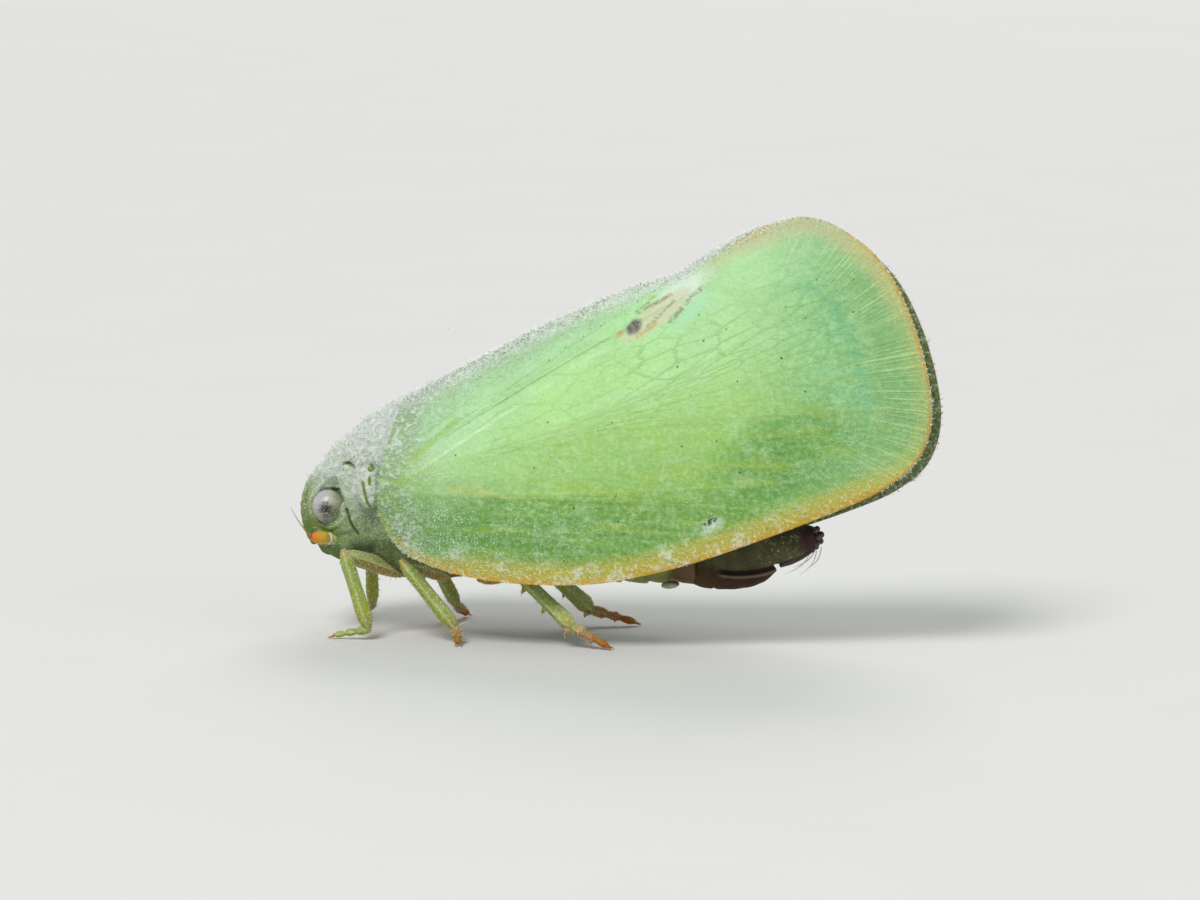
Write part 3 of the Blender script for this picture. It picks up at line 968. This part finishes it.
leg_green, place = finish("leg_yellow_green", Specular_IOR_Level=0.4, Subsurface_Weight=0.15,
                          Subsurface_Scale=0.0002)
stage, keel = place.attributes("stage", "keel")
up = place.node("NewGeometry", out=1).parts()[2]
fine, clouds = place.noise(22, 4, 0.7), place.noise(5, 3, 0.6)
cover = stage.ramp((0.0, (0.24, 0.2, 0.02)), (0.16, (0.28, 0.25, 0.02)), (0.38, (0.32, 0.35, 0.04)),
                   (0.455, (0.5, 0.3, 0.05)), (0.5, (0.33, 0.43, 0.04)), (0.72, (0.38, 0.43, 0.03)),
                   (0.79, (0.46, 0.32, 0.06)), (0.84, (0.5, 0.19, 0.02)), (1.0, (0.42, 0.11, 0.005)))
flaky = place.noise(24, 4, 0.8)
bloom = (up.rise(-0.1, 0.9) * 0.4 + keel.rise(0.1, 0.9) * 0.6).capped()
bloom = (bloom * 0.26 + flaky * 0.8 + clouds * 0.2).rise(0.5, 0.64) * stage.rise(0.96, 0.8)
cover = cover.coated(
    (clouds.rise(0.4, 0.7) * 0.45, (0.24, 0.34, 0.02)),
    ((up + fine * 1.6 - 0.8).rise(0.25, -0.75) * stage.rise(0.5, 0.2) * 0.75, (0.44, 0.22, 0.01)),
    (bloom * 0.42, (0.62, 0.74, 0.46)),
    (fine.rise(0.44, 0.32) * 0.35, 0.55),
    (place.cells("F1", 30.0).rise(0.34, 0.16) * stage.rise(0.96, 0.85) * fine.rise(0.38, 0.52) * 0.85,
     (0.88, 0.94, 0.8)))
wear(leg_green, cover, 0.5 + bloom * 0.25, fine * 0.9 + flaky * 0.9 + clouds * 0.3, 0.018, 0.9)
legs = []
for which, places in LEGS.items():
    for side, word in SIDES:
        stand = places
        if side < 0:
            steps = (Vector(step) for step in RIGHT_STEP[which])
            stand = (*places[:2], *(Vector(place) + step for place, step in zip(places[2:], steps)))
        legs.append(finished(leg_bmesh(which, stand), "leg_" + which + "_skin_" + word, leg_green, side,
                             slot="leg", replaced=["leg_" + which + "_" + word]))

# Feelers: a short pale first joint, an orange bulb dotted with sense pits, and a hair-thin bristle.
# They stand below the eyes.
feeler, place = finish("feeler_orange", Specular_IOR_Level=0.45, Subsurface_Weight=0.25,
                       Subsurface_Scale=0.0002)
(stage,) = place.attributes("stage")
pits = place.cells("F1", 17.0)
amber = stage.ramp(
    (0.0, (0.3, 0.36, 0.1)), (0.3, (0.52, 0.52, 0.2)), (0.4, (0.62, 0.6, 0.36)), (0.48, (0.62, 0.48, 0.07)),
    (0.62, (0.66, 0.4, 0.04)), (0.76, (0.72, 0.2, 0.01)), (0.86, (0.3, 0.1, 0.02)), (1.0, (0.34, 0.34, 0.16)))
amber = amber.coated((pits.rise(0.3, 0.14) * 0.4, (0.86, 0.62, 0.26)))
wear(feeler, amber, 0.42, pits.rise(0.1, 0.45) + place.noise(25, 2) * 0.4, 0.01, 0.7)
for side, word in SIDES:
    bm = bmesh.new()
    root, bulb, tip = (Vector((-3.86, -0.47, 1.32)), Vector((-4.22, -0.86, 1.405)),
                       Vector((-4.47, -0.95, 1.83)))
    for start, end, profile, stages, shape in (
            (root, root.lerp(bulb, 0.4), (0.06, 0.075, 0.082, 0.06), (0.0, 0.35), {}),
            (root.lerp(bulb, 0.34), root.lerp(bulb, 0.46), (0.05, 0.082, 0.09, 0.08, 0.05), (0.39, 0.41), {}),
            (root.lerp(bulb, 0.4), bulb, (0.05, 0.078, 0.092, 0.096, 0.09, 0.076, 0.058, 0.03),
             (0.42, 0.8), {}),
            (bulb - (bulb - root) * 0.05, bulb.lerp(tip, 0.12), (0.034, 0.04, 0.026, 0.012), (0.84, 0.9),
             {"sides": 10}),
            (bulb.lerp(tip, 0.08), tip, (0.012, 0.009, 0.007, 0.005, 0.003), (0.92, 1.0),
             {"arch": (-0.03, 0, 0.02), "sides": 7})):
        bone(bm, start, end, profile, stages, edges=0.0, **shape)
    finished(bm, "feeler_" + word, feeler, side, slot="feeler", replaced=["antenna_" + word])

# Beak: a slim jointed tube that lies back under the chest, brown at its tip.
bm = bmesh.new()
bone(bm, (-3.92, 0, 1.01), (-3.4, 0, 0.86), (0.08, 0.1, 0.1, 0.085), (0.1, 0.5))
bone(bm, (-3.42, 0, 0.865), (-2.78, 0, 0.75), (0.08, 0.078, 0.066, 0.05, 0.02), (0.5, 0.82))
finished(bm, "beak", leg_green, slot="leg", replaced=["rostrum"])

# Belly: seven overlapping rings of soft cuticle, yellow-green in front and dark red-brown behind,
# turned on a lathe and pressed narrow, with a fold along each side.
BELLY = ((-1.47, 0.6), (-0.7, 0.69), (0.2, 0.72), (1.15, 0.7))
BELLY_RINGS, BELLY_AXIS, BELLY_NARROW, LATHE_STEPS = 7, 1.5, 0.8, 96
# along one ring, as shares of its length, and how far the skin is drawn in there
RING_SHAPE = ((0.0, 0.05), (0.1, 0.04), (0.35, 0.022), (0.7, 0.01), (0.92, 0.006), (0.985, 0.006),
              (1.0, 0.03))
bm = bmesh.new()
stations = [(BELLY[0][0], 0.0)]
for number in range(BELLY_RINGS):
    for share, drawn_in in RING_SHAPE:
        x_at = BELLY[0][0] + (BELLY[-1][0] - BELLY[0][0]) * (number + share * 0.995) / BELLY_RINGS
        stations.append((x_at, float(np.interp(x_at, *zip(*BELLY))) - drawn_in))
stations.append((BELLY[-1][0], 0.0))
verts = [bm.verts.new((x_at, 0, radius)) for x_at, radius in stations]
edges = [bm.edges.new(pair) for pair in zip(verts, verts[1:])]
bmesh.ops.spin(bm, geom=verts + edges, cent=(0, 0, 0), axis=(1, 0, 0), angle=math.tau, steps=LATHE_STEPS,
               use_merge=True)
bmesh.ops.remove_doubles(bm, verts=bm.verts, dist=0.0001)
for vert in bm.verts:
    angle = math.atan2(vert.co.y, -vert.co.z)
    fold = float(1 - 0.05 * bell(abs(angle) - 1.15, 0.1) - 0.03 * bell(abs(angle) - 0.62, 0.07))
    vert.co = (vert.co.x, vert.co.y * BELLY_NARROW * fold, BELLY_AXIS + vert.co.z * fold)
    room = float(wing_face(vert.co.x, vert.co.z)) - 0.16
    vert.co.y = math.copysign(min(abs(vert.co.y), max(room, 0.05)), vert.co.y)
for side in (1, -1):
    rounded_block(bm, (0.8, -0.38 * side, 0.845), (0.13, 0.08, 0.055), 8, 2.0, 20, 14)
belly, place = finish("belly_cuticle", Specular_IOR_Level=0.4, Subsurface_Weight=0.12,
                      Subsurface_Scale=0.0002)
x, _, z = place.parts()
clouds, fine = place.noise(3, 4, 0.6), place.noise(20, 4, 0.7)
tone = x.rise(-1.5, 2.4).ramp((0.0, (0.3, 0.24, 0.07)), (0.3, (0.24, 0.27, 0.06)), (0.6, (0.22, 0.24, 0.06)),
                              (0.66, (0.13, 0.075, 0.025)), (1.0, (0.1, 0.05, 0.02)))
wart = spot_mask(x, z, (0.8, 0.82), (0.16, 0.08), 0, 0.5)
tone = tone.coated(
    (clouds.rise(0.45, 0.7) * x.rise(0.9, 0.5) * 0.5, (0.4, 0.42, 0.2)),
    (fine.rise(0.55, 0.72) * x.rise(1.0, 0.6) * 0.4, (0.66, 0.66, 0.52)),
    (wart * 0.7, (0.44, 0.47, 0.37)))
wear(belly, tone, 0.5 + fine * 0.2, fine * 0.6 + place.noise(9, 3) * 0.8, 0.02, 0.8)
finished(bm, "belly_rings", belly, slot="belly", replaced=["abdomen"])

# Tail end: a dark red-brown plate below, a pair of grey-brown lobes above it with a dark cleft
# between, black knobs at the tip and long pale bristles. One such bristle also stands at a mid foot.
TAIL_VOXEL = 0.026
bm = bmesh.new()
rounded_block(bm, (1.6, 0.0, 1.46), (0.76, 0.46, 0.57), 8, 2.4)
rounded_block(bm, (1.52, 0.0, 1.1), (0.7, 0.39, 0.35), 3, 2.2)
for side in (1, -1):
    rounded_block(bm, (2.12, -0.14 * side, 1.37), (0.72, 0.23, 0.25), 13, 2.2)
tail = melted(bm, TAIL_VOXEL)
tail.normal_update()
for vert in tail.verts:
    cleft_z = 1.04 + 0.27 * (vert.co.x - 1.75) ** 2
    open_at = eased((vert.co.x - 1.44) / 0.12)
    cleft = bell(vert.co.z - cleft_z, 0.03) * open_at
    lip = bell(vert.co.z - cleft_z + 0.06, 0.022) * open_at
    ring = bell(vert.co.x - 1.36, 0.03) * eased((1.4 - vert.co.z) / 0.1)
    grit = noise.fractal(vert.co * 9.0, 0.9, 2.1, 3)
    vert.co += vert.normal * (0.018 * lip + 0.008 * grit - 0.055 * cleft - 0.02 * ring)
    vert.co.x = max(vert.co.x, 1.08)
tail_end, place = finish("tail_cuticle", Specular_IOR_Level=0.18)
x, _, z = place.parts()
clouds, fine = place.noise(5, 4, 0.6), place.noise(24, 4, 0.7)
cleft_z = (x - 1.75) * (x - 1.75) * 0.27 + 1.04
dark_line = abs(z - cleft_z).rise(0.05, 0.015) * x.rise(1.42, 1.56)
lip = abs(z - cleft_z + 0.06).rise(0.03, 0.008) * x.rise(1.42, 1.56)
lobe = (z - cleft_z).rise(-0.02, 0.04)
tone = clouds.ramp((0.3, (0.02, 0.009, 0.004)), (0.7, (0.05, 0.02, 0.008)))
tone = tone.coated(
    (x.rise(1.7, 1.2) * 0.6, (0.09, 0.055, 0.018)),
    (lobe, clouds.ramp((0.3, (0.04, 0.04, 0.014)), (0.7, (0.1, 0.098, 0.038)))),
    (lobe * fine.rise(0.55, 0.66) * x.rise(1.8, 2.6) * 0.8, (0.5, 0.48, 0.32)),
    (lobe * place.cells("F1", 12.0).rise(0.2, 0.1) * 0.8, (0.06, 0.055, 0.035)),
    (lip * 0.5, (0.3, 0.21, 0.14)),
    (dark_line * 0.95, (0.018, 0.01, 0.008)),
    ((x + z * 0.2).rise(2.84, 3.0), (0.05, 0.018, 0.014)))
wear(tail_end, tone, 0.5 + fine * 0.2, fine * 0.7 + clouds, 0.02, 0.8)
finished(tail, "tail_skin", tail_end, slot="belly", replaced=["terminalia"])

pitch = plain("tail_black", (12, 3), (0.015, 0.01, 0.01), (0.06, 0.025, 0.02), 0.3, (30, 2), 0.006, 0.6,
              Specular_IOR_Level=0.6)
bm = bmesh.new()
for side in (1, -1):
    for behind, aside, above, size in ((2.77, 0.1, 1.62, 0.045), (2.82, 0.12, 1.54, 0.05),
                                       (2.81, 0.13, 1.45, 0.048), (2.75, 0.12, 1.37, 0.045)):
        rounded_block(bm, (behind, -aside * side, above), (size, size, size), 0, 2.0, 14, 10)
    bone(bm, (2.74, -0.13 * side, 1.34), (2.3, -0.15 * side, 1.13), (0.02, 0.05, 0.055, 0.03), (0, 1),
         edges=0.0)
finished(bm, "tail_knobs", pitch, slot="belly")

bristle = plain("pale_bristle", (8, 2), (0.62, 0.6, 0.46), (0.78, 0.76, 0.62), 0.4, (30, 2), 0.002, 0.4,
                Specular_IOR_Level=0.5)
bm = bmesh.new()
for start, end in (((2.82, -0.16, 1.36), (2.6, -0.24, 1.03)), ((2.72, -0.18, 1.3), (2.4, -0.28, 1.04))):
    for side in (1, -1):
        bone(bm, [start[0], start[1] * side, start[2]], [end[0], end[1] * side, end[2]],
             (0.008, 0.008, 0.007, 0.005, 0.002), (0, 1), arch=(0.05, 0, -0.02), edges=0.0, sides=6)
ankle = Vector(LEGS["mid"][3])
bone(bm, ankle + Vector((0.05, -0.03, 0.07)), ankle + Vector((0.19, -0.06, 0.12)),
     (0.009, 0.008, 0.005, 0.002), (0, 1), arch=(0, 0, 0.012), edges=0.0, sides=6)
finished(bm, "long_bristles", bristle, slot="belly")

# Wax: loose white threads and crumbs that the insect sheds from its skin. They stand as fuzz along
# the back and the wing edges and lie as crumbs on the shield, the wing roots and the lower edge.
wax = plain("wax_threads", (6, 3), (0.84, 0.95, 0.84), (0.94, 0.99, 0.94), 0.8, (40, 2), 0.003, 0.4,
            Specular_IOR_Level=0.25, Sheen_Weight=0.3)
greened_wax = plain("wax_grains_on_green", (6, 3), (0.46, 0.66, 0.4), (0.74, 0.88, 0.66), 0.7, (40, 2),
                    0.003, 0.4, Specular_IOR_Level=0.3)
PATCH_HALF = 0.0013  # half of a tuft's patch on the OFBake map
# the share of a thread's length at which each of its two rings lies, and its width there
THREAD_RINGS = ((-0.15, 1.0), (0.5, 0.72))
WALLS = np.array([(0, 1, 4, 3), (1, 2, 5, 4), (2, 0, 3, 5)])
ENDS = np.array([(3, 4, 6), (4, 5, 6), (5, 3, 6), (0, 2, 1)])


def unit_rows(rows):
    return rows / np.linalg.norm(rows, axis=-1, keepdims=True)


def tufts(name, roots, headings, leans, lengths, widths, patches, material, slot, under=None):
    """Joins many tapering threads into one mesh. Each is one small patch on the OFBake map, and where
    the skin under it is given, light falls on it as on that skin, as it does on a loose white powder."""
    headings = unit_rows(headings)
    aside = unit_rows(np.cross(headings, np.where(np.abs(headings[:, :1]) < 0.8, [[1.0, 0, 0]],
                                                  [[0, 1.0, 0]])))
    other = np.cross(headings, aside)
    corners = []
    for share, thick in THREAD_RINGS:
        middle = (roots + headings * (lengths * share)[:, None]
                  + leans * (lengths * max(share, 0) ** 2)[:, None])
        for angle in (0.0, math.tau / 3, 2 * math.tau / 3):
            corners.append(middle + (aside * math.cos(angle) + other * math.sin(angle))
                           * (widths * thick)[:, None])
    corners.append(roots + headings * lengths[:, None] + leans * lengths[:, None])
    corners = np.stack(corners, axis=1)
    first = 7 * np.arange(len(roots))[:, None, None]
    faces = [face for shape in (WALLS, ENDS)
             for face in (shape[None] + first).reshape(-1, shape.shape[1]).tolist()]
    mesh = bpy.data.meshes.new(name)
    mesh.from_pydata(((corners.reshape(-1, 3) + np.array(SHIFT)) * MM).tolist(), [], faces)
    mesh.update()
    offsets = PATCH_HALF * np.array([(-1, -1), (1, -1), (0, 1), (-0.6, 0), (0.6, 0), (0, 0.7), (0, 0)])
    spots = (patches[:, None, :] + offsets[None]).reshape(-1, 2)
    corner_of = np.zeros(len(mesh.loops), np.int32)
    mesh.loops.foreach_get("vertex_index", corner_of)
    layer = mesh.uv_layers.new(name="OFBake")
    layer.data.foreach_set("uv", spots[corner_of].astype(np.float32).ravel())
    placed(mesh, name, material, slot=slot)
    if under is not None:
        sideways = (corners - corners.mean(axis=1, keepdims=True)) / widths[:, None, None]
        sideways /= np.maximum(np.linalg.norm(sideways, axis=2, keepdims=True), 0.5)
        shading = unit_rows(under[:, None, :] + 0.35 * sideways)
        mesh.normals_split_custom_set_from_vertices(shading.reshape(-1, 3).tolist())


def surface_of(obj):
    """A skin's vertices and normals in the part's own millimetres, and its vertex layers."""
    mesh = obj.data

    def read(items, key, width):
        held = np.zeros(len(mesh.vertices) * width)
        items.foreach_get(key, held)
        return held.reshape(-1, width) if width > 1 else held

    layers = {held.name: read(held.data, "value", 1) for held in mesh.attributes
              if held.domain == "POINT" and held.data_type == "FLOAT"}
    return read(mesh.vertices, "co", 3) / MM - np.array(SHIFT), read(mesh.vertex_normals, "vector", 3), layers


def wing_patch(spots):
    """The wing is a flat sheet, so its unwrap is its own length and height."""
    return np.stack([(spots[:, 0] + 3.5) / 8.4, (spots[:, 2] - 0.7) / 8.4], axis=1)


chance = np.random.default_rng(11)
for side, word in SIDES:
    spots, facing, layers = surface_of(forewings[side])
    outer = layers["inner"] < 0.5
    rim, front, share, along = (layers[key] for key in ("rim", "front", "share", "along"))
    cell = np.clip(layers["spread"] * 0.005, 0.004, 0.1)
    back_edge = (share < 0.34) * np.exp(-rim / 0.05)
    rear_edge = (share >= 0.34) * (share < 0.62) * np.exp(-rim / 0.03)
    crumbs_at = (np.exp(-rim / 0.22) * (share < 0.24) * 1.2 + np.exp(-front / 0.7) * 1.0 + 0.1
                 + np.exp(-rim / 0.16) * (share > 0.62) * (rim > 0.07) * 0.8
                 + (share > 0.6) * (along < 0.5) * 0.35)
    for kind, weights, count, length, width, straight, material in (
            ("fuzz", back_edge + 0.35 * rear_edge, 7000, (0.012, 0.044), 0.0055, 0.7, wax),
            ("crumbs", crumbs_at, 5200, (0.008, 0.018), 0.0075, 1.0, greened_wax)):
        odds = weights * cell * outer
        picked = chance.choice(len(spots), count, p=odds / odds.sum())
        roots = spots[picked] + chance.normal(0, 0.012, (count, 3)) * [1, 0, 1]
        heading = facing[picked] * straight
        if kind == "fuzz":
            on_back = np.exp(-rim[picked] / 0.06) * (share[picked] < 0.34)
            heading = heading + np.array([-0.25, 0, 0.9]) * on_back[:, None]
        heading = heading + chance.normal(0, 0.35, (count, 3))
        lengths = chance.uniform(*length, count)
        tufts("wing_" + kind + "_" + word, roots, heading, chance.normal(0, 0.35, (count, 3)), lengths,
              width * chance.uniform(0.6, 1.4, count), wing_patch(roots), material, "tegmen",
              facing[picked] + [0, 0, 0.5])

# Dust: dark grains that lie on the wings, in x and z on the left one, and one dark thread there. They
# are specks of soot and soil, stuck to the wax. Those on the right wing lie at random.
DUST = ((0.84, 3.75), (1.31, 4.3), (1.22, 4.64), (1.62, 4.47), (2.44, 4.79), (2.72, 4.65), (3.38, 4.75),
        (2.41, 4.1), (0.96, 3.94), (1.07, 2.87), (1.88, 2.52), (1.55, 2.95), (2.75, 3.65), (1.81, 3.77),
        (3.37, 5.19), (-1.96, 3.08), (-1.55, 2.87), (-2.11, 2.64), (-0.83, 3.13), (-0.88, 2.83),
        (-0.98, 2.52), (-0.4, 1.99), (0.3, 1.65), (-0.24, 1.78), (-0.67, 2.61), (0.03, 3.14),
        (0.08, 3.16), (-0.1, 3.05), (0.22, 1.82), (-0.52, 1.26))
THREAD_ROOT = (0.19, 2.2)
soot = plain("dark_dust", (12, 2), (0.01, 0.016, 0.008), (0.05, 0.06, 0.03), 0.7, (40, 2), 0.002, 0.4,
             Specular_IOR_Level=0.3)
for side, word in SIDES:
    known = np.array(DUST)
    if side < 0:
        known = np.stack([chance.uniform(-2.4, 3.2, 26), chance.uniform(0, 1, 26)], axis=1)
        known[:, 1] = 2.0 + 0.3 * (known[:, 0] + 2.4) + known[:, 1] * 1.6
    known = np.concatenate([known, known + chance.normal(0, 0.3, known.shape)])
    grains = len(known)
    lift = wing_face(known[:, 0], known[:, 1])
    roots = np.stack([known[:, 0], -side * (lift - 0.002), known[:, 1]], axis=1)
    sizes = np.where(np.arange(grains) < grains // 2, chance.uniform(0.01, 0.018, grains),
                     chance.uniform(0.006, 0.01, grains))
    heading = np.tile([0.0, -float(side), 0.0], (grains, 1)) + chance.normal(0, 0.2, (grains, 3))
    if side > 0:
        roots = np.concatenate([roots, [(THREAD_ROOT[0], -float(wing_face(*THREAD_ROOT)) - 0.004,
                                         THREAD_ROOT[1])]])
        heading = np.concatenate([heading, [(-0.45, -0.1, -1.0)]])
        sizes = np.concatenate([sizes, [0.0055]])
    lengths = np.where(np.arange(len(roots)) < grains, sizes * 1.3, 0.13)
    tufts("wing_dust_" + word, roots, heading, np.zeros((len(roots), 3)), lengths, sizes, wing_patch(roots),
          soot, "tegmen")

# Body wax: white crumbs and short threads on head, collar and shield, thickest and longest on top.
# They are the same shed wax as the wings', and none lies in the sutures or round the eyes.
BODY_CRUMBS = 15000
spots, facing, layers = surface_of(body_skin)
top = eased((spots[:, 2] - 1.7) / 0.8)
weights = 0.1 + top * 1.4 + layers["rim"] * 0.8
weights *= (layers["groove"] < 0.4) * (layers["slit"] < 0.3) * (spots[:, 2] > 1.2)
weights *= np.linalg.norm((np.abs(spots) - [-EYE_X, -EYE_Y, EYE_Z]), axis=1) > 0.27
picked = chance.choice(len(spots), BODY_CRUMBS, p=weights / weights.sum())
lengths = chance.uniform(0.008, 0.02, BODY_CRUMBS)
lengths += (chance.random(BODY_CRUMBS) < 0.3 * top[picked]) * chance.uniform(0.0, 0.07, BODY_CRUMBS)
roots = spots[picked] + chance.normal(0, 0.008, (BODY_CRUMBS, 3))
around = np.arctan2(roots[:, 1], roots[:, 2] - 1.6)
heading, lean = (chance.normal(0, 0.4, (BODY_CRUMBS, 3)) for _ in range(2))
tufts("body_wax", roots, facing[picked] + heading, lean, lengths, chance.uniform(0.004, 0.007, BODY_CRUMBS),
      np.stack([(roots[:, 0] + 4.7) / 4.0, around / math.tau + 0.5], axis=1), wax, "waxed_cuticle",
      facing[picked])

# Leg down: short pale hairs that lean towards the foot, on all six legs. They grow from the shins
# and thighs, and leave the claws bare.
LEG_HAIRS = 520
for leg in legs:
    spots, facing, layers = surface_of(leg)
    shown = (layers["stage"] > 0.12) & (layers["stage"] < 0.97) & (spots[:, 2] > 0.13)
    picked = chance.choice(len(spots), LEG_HAIRS, p=shown / shown.sum())
    roots = spots[picked]
    lean = np.tile([0.3, 0.0, -0.6], (LEG_HAIRS, 1)) + chance.normal(0, 0.15, (LEG_HAIRS, 3))
    around = np.arctan2(facing[picked][:, 1], facing[picked][:, 0])
    tufts(leg.name.replace("skin", "down"), roots, facing[picked] + chance.normal(0, 0.15, (LEG_HAIRS, 3)),
          lean, chance.uniform(0.02, 0.042, LEG_HAIRS), chance.uniform(0.0028, 0.0042, LEG_HAIRS),
          np.stack([layers["stage"][picked], around / math.tau + 0.5], axis=1), bristle, "leg")
